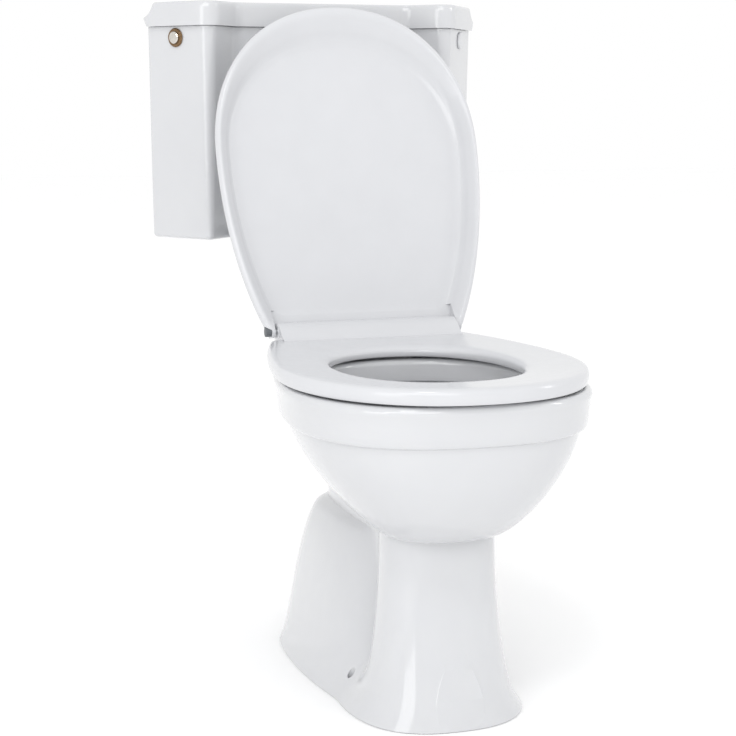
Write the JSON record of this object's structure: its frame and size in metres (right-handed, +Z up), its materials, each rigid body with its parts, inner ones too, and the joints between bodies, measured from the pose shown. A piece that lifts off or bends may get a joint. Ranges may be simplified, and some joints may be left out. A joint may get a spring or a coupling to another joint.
{
  "type": "close-coupled corner toilet",
  "caption": "Floor-standing toilet with a trapway pan, hinged seat and open cover, and a corner cistern with a side flush button and working valves.",
  "frame": {"origin": "centre of the soil outlet's spigot at floor level, straight below the hinge line", "axes": "+Z up, -Y towards the front of the pan, +X to the sitter's left"},
  "size_m": [0.4918, 0.8902, 0.8643],
  "materials": {
    "glazed_white": "gloss",
    "white_seat_plastic": "gloss",
    "white_nylon": "satin",
    "grey_rubber": "matt",
    "black_rubber": "matt",
    "steel": "zinc plated",
    "chrome": "polished"
  },
  "bodies": {
    "base": {"pan": "glazed_white", "cistern_body": "glazed_white", "coupling_gasket": "black_rubber", "cistern_pads": "black_rubber", "cistern_bolts": "steel", "cistern_bolt_seals": "black_rubber", "cistern_bolt_washers": "steel", "cistern_wing_nuts": "white_nylon", "left_hinge_post": "white_nylon", "right_hinge_post": "white_nylon", "hinge_rod": "steel", "rod_cap": "grey_rubber", "hinge_bolts": "steel", "hinge_washers": "black_rubber", "hinge_wing_nuts": "white_nylon", "button_ring": "chrome", "button_nut": "white_nylon", "blanking_plug": "white_seat_plastic", "blanking_plug_nut": "white_nylon", "flush_cable": "white_nylon", "flush_valve_body": "white_nylon", "flush_valve_washer": "black_rubber", "flush_valve_nut": "white_nylon", "fill_valve": "white_nylon", "fill_valve_washer": "black_rubber", "fill_valve_nut": "white_nylon"},
    "seat": {"seat_ring": "white_seat_plastic", "seat_buffers": "grey_rubber"},
    "cover": {"seat_cover": "white_seat_plastic"},
    "lid": {"cistern_lid": "glazed_white"},
    "button": {"push_button": "chrome"},
    "piston": {"flush_piston": "white_nylon", "flush_seal": "black_rubber"},
    "float": {"fill_valve_float": "white_nylon"}
  },
  "joints": [
    {"name": "seat_hinge", "type": "hinge", "parent": "base", "child": "seat", "pos_m": [0, 0, 0.429], "axis": [-1, 0, 0], "range_deg": [0, 100]},
    {"name": "cover_hinge", "type": "hinge", "parent": "base", "child": "cover", "pos_m": [0, 0, 0.429], "axis": [-1, 0, 0], "range_deg": [-108, 0]},
    {"name": "lid_lift", "type": "slide", "parent": "base", "child": "lid", "axis": [0, 0, 1], "range_m": [0, 0.12]},
    {"name": "button_press", "type": "slide", "parent": "base", "child": "button", "axis": [0.8059, 0.5916, 0.0238], "range_m": [0, 0.005], "stiffness_N_per_m": 600},
    {"name": "valve_lift", "type": "slide", "parent": "base", "child": "piston", "axis": [0, 0, 1], "range_m": [0, 0.015]},
    {"name": "float_rise", "type": "slide", "parent": "base", "child": "float", "axis": [0, 0, 1], "range_m": [0, 0.07]}
  ],
  "couplings": [
    {"joint": "valve_lift", "follows": "button_press", "ratio": 3}
  ]
}
